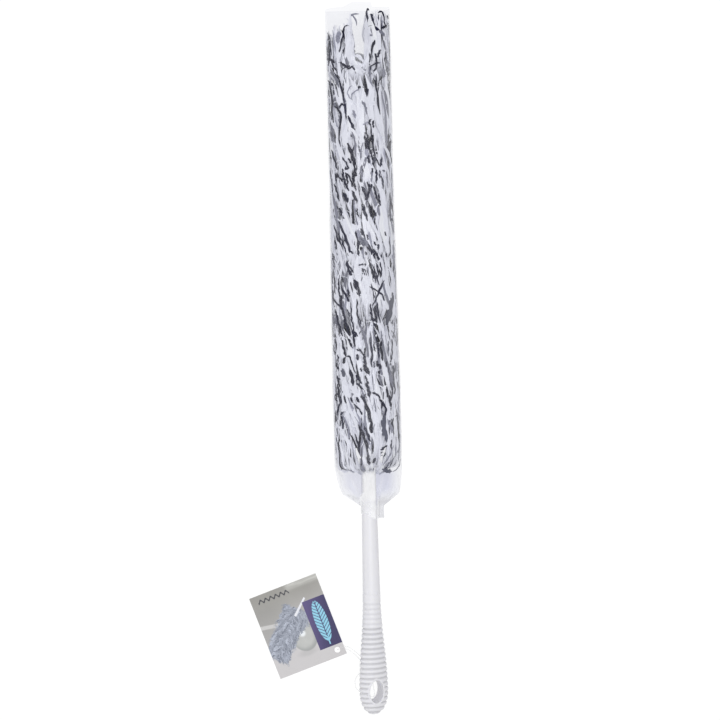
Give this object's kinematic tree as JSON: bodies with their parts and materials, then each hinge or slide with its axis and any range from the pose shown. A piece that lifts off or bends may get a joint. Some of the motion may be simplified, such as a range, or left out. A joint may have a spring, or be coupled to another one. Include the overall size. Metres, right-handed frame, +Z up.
{
  "type": "feather duster",
  "caption": "Film-strip feather duster with a ribbed handle and hang hole, its head in a clear packing sleeve, with a swing tag on a loop string.",
  "frame": {"origin": "middle of the duster's length and width, on the surface that it lies on", "axes": "+Y along the duster from the handle's end to the tip, +X to the right seen from above with the tip away, +Z up from the surface"},
  "size_m": [0.1582, 0.711, 0.044],
  "materials": {
    "handle_plastic": "moulded off-white plastic, satin",
    "rod_plastic": "extruded plastic rod, satin",
    "cap_plastic": "moulded plastic cap, semi-gloss",
    "ring_metal": "plain pressed steel",
    "strip_film": "pale lilac and charcoal antistatic film strips, soft gloss",
    "clear_film": "thin clear packing film, glossy, creased",
    "tag_print": "printed and laminated card, semi-gloss",
    "string_nylon": "clear nylon"
  },
  "bodies": {
    "duster": {"handle_grip": "handle_plastic", "handle_shaft": "handle_plastic", "core_rod": "rod_plastic", "tip_cap": "cap_plastic", "lower_retaining_ring": "ring_metal", "upper_retaining_ring": "ring_metal", "fringe_hem": "strip_film", "feather_tier_01": "strip_film", "feather_tier_02": "strip_film", "feather_tier_03": "strip_film", "feather_tier_04": "strip_film", "feather_tier_05": "strip_film", "feather_tier_06": "strip_film", "feather_tier_07": "strip_film", "feather_tier_08": "strip_film"},
    "sleeve": {"sleeve_tube": "clear_film", "sleeve_neck": "clear_film"},
    "tag_loop": {"tag_string": "string_nylon", "string_lock": "string_nylon"},
    "tag": {"tag_card": "tag_print"}
  },
  "joints": [
    {"name": "sleeve_slide", "type": "slide", "parent": "duster", "child": "sleeve", "axis": [0, 1, 0], "range_m": [0, 0.52], "deforming": ["sleeve_neck"]},
    {"name": "tag_swing", "type": "hinge", "parent": "duster", "child": "tag_loop", "pos_m": [0.0006, -0.3358, 0], "axis": [0, 0, 1], "range_deg": [-10, 35]},
    {"name": "tag_turn", "type": "hinge", "parent": "tag_loop", "child": "tag", "pos_m": [-0.03582, -0.29341, 0], "axis": [0, 0, 1], "range_deg": [-25, 25]}
  ]
}
